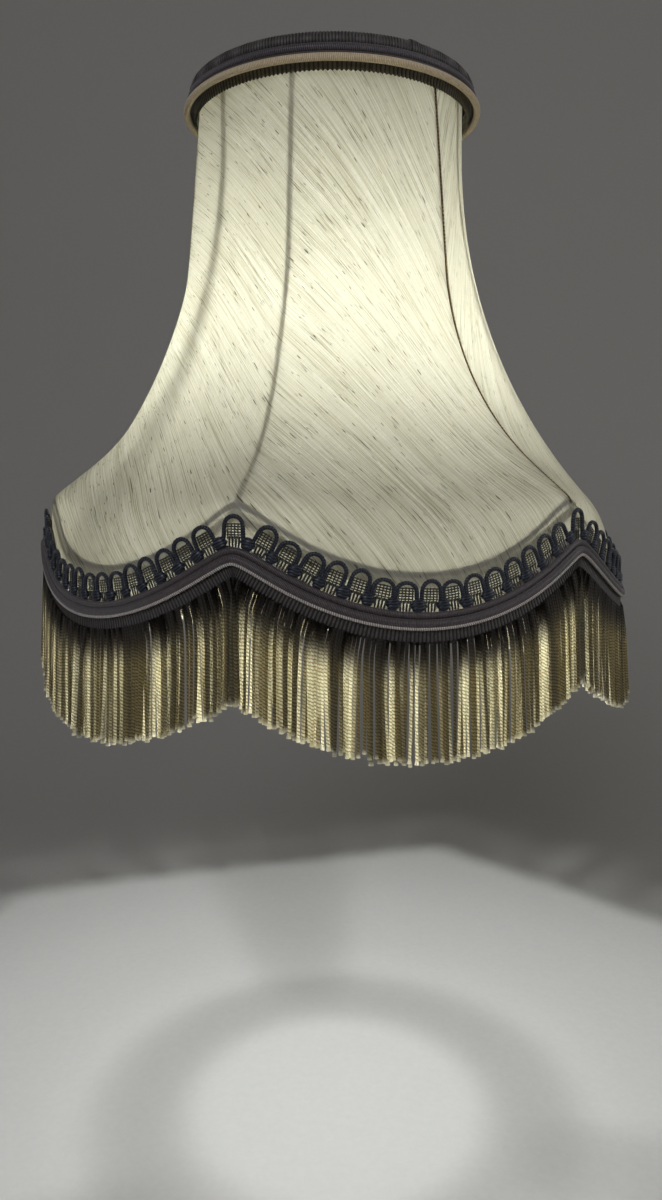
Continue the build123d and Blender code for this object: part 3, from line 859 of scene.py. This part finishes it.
def makeFringe():
    rng = random.Random(fringe["seed"])
    radius = footLine["radius"]
    count = round(trimLine(footLine, 2)[3][-1] / fringe["pitch"])
    azimuth, height, lean, _ = trimLine(footLine, count)
    placements = []
    for i in range(count):
        for layer, share in enumerate(fringe["rows"]):
            if rng.random() > share:
                continue
            swing = math.degrees((rng.uniform(-0.25, 0.25) + layer * fringe["rowShift"]) / radius)
            a, z, l = azimuth[i] + swing, height[i], lean[i]
            fromDip = ((a + panelAngle) % panelAngle) - halfPanel
            toPeak = math.radians(halfPanel - abs(fromDip)) * radius
            # cords from both sides crowd together under a peak
            crowd = max(0.0, 1 - toPeak / fringe["crowdReach"])
            limit = toPeak * fringe["closeUp"]
            turnIn = max(-limit, min(limit, math.sin(l) * (fringe["bend"] + 0.5)))
            start = offLine(radius, a, z, l, heading["bottom"] + fringe["startUp"], 0)
            spread = rng.uniform(-0.5, 0.5) + crowd * rng.uniform(-2.6, 2.8) - layer * fringe["rowBack"]
            # the feet sway together in slow waves, and each a little on its own
            wave = 0.55 * math.sin(a * 0.9 + 1.3) + 0.35 * math.sin(a * 2.7 + layer)
            sway = wave + rng.gauss(0, 0.28)
            lift = rng.gauss(0, 0.5)
            long = fringe["length"] + rng.gauss(0, 0.55)
            if rng.random() < 0.05:
                long += rng.uniform(-2.5, 1.2)
            cord = {"angle": math.atan2(start.x, -start.y), "top": start.z / mm, "turnIn": turnIn,
                    "spread": spread, "sway": sway, "lift": lift, "long": long,
                    "thick": fringe["halfThickness"] * rng.uniform(0.88, 1.1),
                    "bow": rng.uniform(-0.35, 0.35)}
            placements.append((cordMover(cord), rng.random() * 9))
    piece = tile("fringeCords", cordShape(), placements, shadeAndFray=lambda points: shadeAndFrayAlong(-points[:, 2]))
    finishPiece(piece, fringeYarn, ["fringe_cords"])


# How far along the painted root shade: 0 at the heading, 1 where the painted shade ends, 2 at the frayed tip
def shadeAndFrayAlong(part):
    past = (part * fringe["length"] - fringe["darkFrom"]) / fringe["darkLength"]
    return np.clip(past, 0, 1) + (part > fringe["frayed"])


# A mover that hangs the cord's shape in its place: it swings in to plumb below its start, then stands
# out, sways and bows a little on the way down
def cordMover(cord):
    angle = cord["angle"]
    east = np.array([math.cos(angle), math.sin(angle), 0])
    out = np.array([math.sin(angle), -math.cos(angle), 0])

    def move(points):
        part = -points[:, 2]
        drop = part * cord["long"]
        wide = cord["thick"] * np.where(part > fringe["frayed"], fringe["tipWide"], 1.0)
        sideways = (cord["turnIn"] * (1 - np.exp(-drop / fringe["bend"])) + cord["sway"] * part ** 1.5
                    + cord["bow"] * np.sin(math.pi * part))
        outwards = (footLine["radius"] + fringe["out"] + cord["spread"] * np.minimum(1, 0.25 + part * 2.5)
                    + fringe["flare"] * part + cord["lift"] * part ** 2)
        x = sideways - points[:, 0] * wide
        y = points[:, 1] * wide + outwards
        return (np.outer(x, east) + np.outer(y, out) + np.outer(cord["top"] - drop, [0, 0, 1])) * mm

    return move


makeHeading()
makeFringe()
print("fringe made")


# upper trims: ribbed braid folded over the ring, rope, fine cord, beige piping, toothed heading

braid = {"ribMm": 1.4, "ribDepth": 0.3, "radius": 62, "thickness": 0.6,
         "joinAzimuth": 15.0, "joinLift": 0.5, "joinWide": 4}      # where its end laps over its start
# its section from inside the ring over the top and down outside: radius, height above the peaks
braidSection = [(52.9, 172.0), (52.7, 173.6), (53.4, 174.9), (55.4, 175.4), (57.4, 175.6), (59.2, 175.5),
                (60.7, 174.9), (61.7, 174.0), (62.2, 172.8), (62.3, 171.6), (61.9, 170.6), (61.0, 169.8),
                (60.4, 168.8), (60.3, 167.6)]
# radius, height, half thickness
topCords = {"rope": (61.9, peakZ + 168.9, 1.75), "fineCord": (62.9, peakZ + 167.0, 0.45),
            "piping": (63.7, peakZ + 164.9, 1.45)}
teeth = {"radius": 60.3, "top": peakZ + 167.0, "foot": peakZ + 162.2, "spacing": 1.8, "depth": 0.8,
         "ridge": 0.3, "lean": 0.3, "stand": 0.6, "rows": 4, "thickness": 0.6}
toothWave = (0.0, 0.6, 1.0, 0.6)      # one tooth, over four columns


def ringTube(name, radius, height, half, sides=8, count=360):
    path = [around(radius, 360 * i / count, height) / mm for i in range(count + 1)]
    outward = [Vector((p.x, p.y, 0)).normalized() for p in path]
    return tube(name, path, outward, half, half, sides, closed=True)


def makeTopBraid():
    ribs = round(2 * math.pi * braid["radius"] / braid["ribMm"])
    columns, rows = ribs * len(ribWave), len(braidSection) - 1

    def place(i, j):
        i = i % columns
        azimuth = 360 * i / columns
        radius, rise = braidSection[j]
        full = 1.0 if 2 <= j <= 9 else 0.25           # the ribs flatten inside and under the fold
        past = ((azimuth - braid["joinAzimuth"] + 180) % 360) - 180
        lapped = max(0, 1 - abs(past / braid["joinWide"])) ** 0.5 if 0 <= past < braid["joinWide"] else 0
        grow = ribWave[i % 4] * braid["ribDepth"] * full + braid["joinLift"] * lapped
        outPart = 1.0 if j >= 6 else 0.35
        upPart = 0.9 if 3 <= j <= 7 else 0.0
        return around(radius + grow * outPart, azimuth, peakZ + rise + grow * upPart)

    girth = 2 * math.pi * braid["radius"]
    piece = wrapGrid("topBraid", columns, rows, place,
                     lambda i, j: (j * 1.0, girth * i / columns), fineMergeGap)
    applyModifier(piece, "SOLIDIFY", thickness=braid["thickness"] * mm, offset=-1.0)
    finishPiece(piece, headingRib, ["top_braid"])


def makeTopHeading():
    girth = 2 * math.pi * teeth["radius"]
    count, rows = round(girth / teeth["spacing"]), teeth["rows"]
    columns = count * len(toothWave)

    def place(i, j):
        i = i % columns
        point = toothWave[i % 4]
        height = teeth["top"] + (teeth["foot"] - teeth["top"]) * j / rows
        if j == rows:
            height -= teeth["depth"] * point
        radius = teeth["radius"] + teeth["ridge"] * point + (teeth["stand"] - teeth["lean"] * j)
        return around(radius, 90 * i / count, height)

    piece = wrapGrid("topHeading", columns, rows, place,
                     lambda i, j: (j * 1.0, girth * i / columns), fineMergeGap)
    applyModifier(piece, "SOLIDIFY", thickness=teeth["thickness"] * mm, offset=-1.0)
    finishPiece(piece, oliveHeading, ["top_heading"])


makeTopBraid()
finishPiece(ringTube("topRope", *topCords["rope"], sides=10), ropeSilk)
finishPiece(ringTube("topFineCord", *topCords["fineCord"]), gimpSatin, ["top_fine_cord"])
finishPiece(ringTube("topPiping", *topCords["piping"], sides=10), beigePiping, ["top_piping"])
makeTopHeading()
print("upper trims made")


# the frame: its wires get their coating, and the tape on the two sewn rings its cotton

for nodeName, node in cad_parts.items():
    material = cottonTape if nodeName.endswith("_tape") else coatedSteel
    if nodeName.startswith(("strut", "fitting", "top_ring", "bottom_ring")):
        node.data.materials.clear()
        node.data.materials.append(material)
print("frame finished")


# camera, floor and lights

# azimuth and the three angles are in degrees; heading turns the camera aside from the shade's axis
view = {"azimuth": -14.8, "distance": 438.2, "rise": peakZ + 7.14, "pitch": 7.41, "roll": -0.24,
        "heading": 0.17, "focalOverHeight": 932.0 / 1200.0, "sensor": 36.0}


def makeCamera():
    camera = bpy.data.cameras.new("viewCamera")
    camera.sensor_width = view["sensor"]
    camera.lens = view["sensor"] * view["focalOverHeight"]
    holder = bpy.data.objects.new("viewCamera", camera)
    bpy.context.collection.objects.link(holder)
    place = Matrix.Translation(around(view["distance"], view["azimuth"], view["rise"]))
    turn = (Matrix.Rotation(math.radians(view["azimuth"] + view["heading"]), 4, "Z")
            @ Matrix.Rotation(math.radians(90 - view["pitch"]), 4, "X")
            @ Matrix.Rotation(math.radians(view["roll"]), 4, "Z"))
    holder.matrix_world = place @ turn
    bpy.context.scene.camera = holder


# Pale paper: a floor that sweeps up into a wall behind. Rows 0 to floorRows are the floor, the next
# ones up to sweepRows the curve, and the rest the wall
paper = {"floorZ": peakZ - 308.0, "floorEnd": 420.0, "sweep": 620.0, "reach": 3000.0,
         "floorRows": 10, "sweepRows": 34, "rows": 40, "columns": 4,
         "dark": "ACAAA5", "pale": "B4B2AD", "grainPerM": 300.0, "roughness": 0.8}


def makeStage():
    floorEnd, sweep, reach = paper["floorEnd"], paper["sweep"], paper["reach"]
    floorRows, sweepRows, rows, columns = (paper[k] for k in ("floorRows", "sweepRows", "rows", "columns"))
    away = math.radians(view["azimuth"] + 180)
    east, north = math.cos(away), math.sin(away)

    def place(i, j):
        if j <= floorRows:
            along, rise = -reach + (reach + floorEnd) * j / floorRows, 0.0
        elif j <= sweepRows:
            turn = math.pi / 2 * (j - floorRows) / (sweepRows - floorRows)
            along, rise = floorEnd + sweep * math.sin(turn), sweep * (1 - math.cos(turn))
        else:
            along, rise = floorEnd + sweep, sweep + (reach - sweep) * (j - sweepRows) / (rows - sweepRows)
        side = (i - columns / 2) / (columns / 2) * reach
        x, y = north * along + east * side, north * side - east * along
        return Vector((x, y, paper["floorZ"] + rise)) * mm

    backdrop = wrapGrid("paperSweep", columns, rows, place, lambda i, j: (i, j))
    material, tree = newMaterial("palePaper")
    spot = addNode(tree, "TexCoord")
    grain = addNode(tree, "TexNoise", {}, {"Vector": spot.outputs["Object"]},
                    {"Scale": paper["grainPerM"], "Detail": 3.0})
    tone = addNode(tree, "Mix", {"data_type": "RGBA"}, {0: grain.outputs["Fac"]},
                   {6: srgb(paper["dark"]), 7: srgb(paper["pale"])})
    front = addNode(tree, "BsdfPrincipled", {}, {"Base Color": tone.outputs[2]},
                    {"Roughness": paper["roughness"]})
    addNode(tree, "OutputMaterial", {}, {"Surface": front.outputs[0]})
    backdrop.data.materials.append(material)


lights = {
    # the lit bulb, as three small lamps up its length and one that throws its light down
    "bulbColour": "F6FBFF",
    # name: height in millimetres, watts, radius in metres
    "bulb": {"bulbGlow": (86.0, 0.155, 0.005), "bulbTop": (128.0, 0.05, 0.005),
             "bulbFoot": (46.0, 0.62, 0.006)},
    "down": {"height": 88.0, "watts": 6.0, "size": 0.008, "cone": 97, "blend": 0.12},
    # name: place in metres, watts, colour, diameter in metres, aim
    "soft": {"softKey": ((-0.9, -1.3, 0.9), 8.0, "F4F6FF", 0.9, (0, 0, 0.05)),
             "softFill": ((1.2, -0.6, 0.4), 3.0, "FFFFFF", 0.8, (0, 0, 0.0))},
    "roomColour": "A8A6A4", "room": 0.24,
}


def addLight(name, kind, place, watts, colour, size, aim=None):
    lamp = bpy.data.lights.new(name, kind)
    lamp.energy = watts
    lamp.color = srgb(colour)[:3]
    if kind == "AREA":
        lamp.shape = "DISK"
        lamp.size = size
    else:
        lamp.shadow_soft_size = size
    holder = bpy.data.objects.new(name, lamp)
    holder.location = place
    if aim is not None:
        holder.rotation_euler = (Vector(aim) - Vector(place)).to_track_quat("-Z", "Y").to_euler()
    bpy.context.collection.objects.link(holder)
    return lamp


def makeLights():
    world = bpy.data.worlds.new("studio")
    bpy.context.scene.world = world
    world.use_nodes = True
    background = world.node_tree.nodes["Background"]
    background.inputs["Color"].default_value = srgb(lights["roomColour"])
    background.inputs["Strength"].default_value = lights["room"]
    for name, (height, watts, size) in lights["bulb"].items():
        addLight(name, "POINT", (0, 0, height * mm), watts, lights["bulbColour"], size)
    down = lights["down"]
    spot = addLight("bulbDown", "SPOT", (0, 0, down["height"] * mm), down["watts"], lights["bulbColour"],
                    down["size"], (0, 0, -1))
    spot.spot_size, spot.spot_blend = math.radians(down["cone"]), down["blend"]
    for name, (place, watts, colour, size, aim) in lights["soft"].items():
        addLight(name, "AREA", place, watts, colour, size, aim)


bpy.context.scene.view_settings.view_transform = "Standard"
makeCamera()
makeStage()
makeLights()
print("stage made")
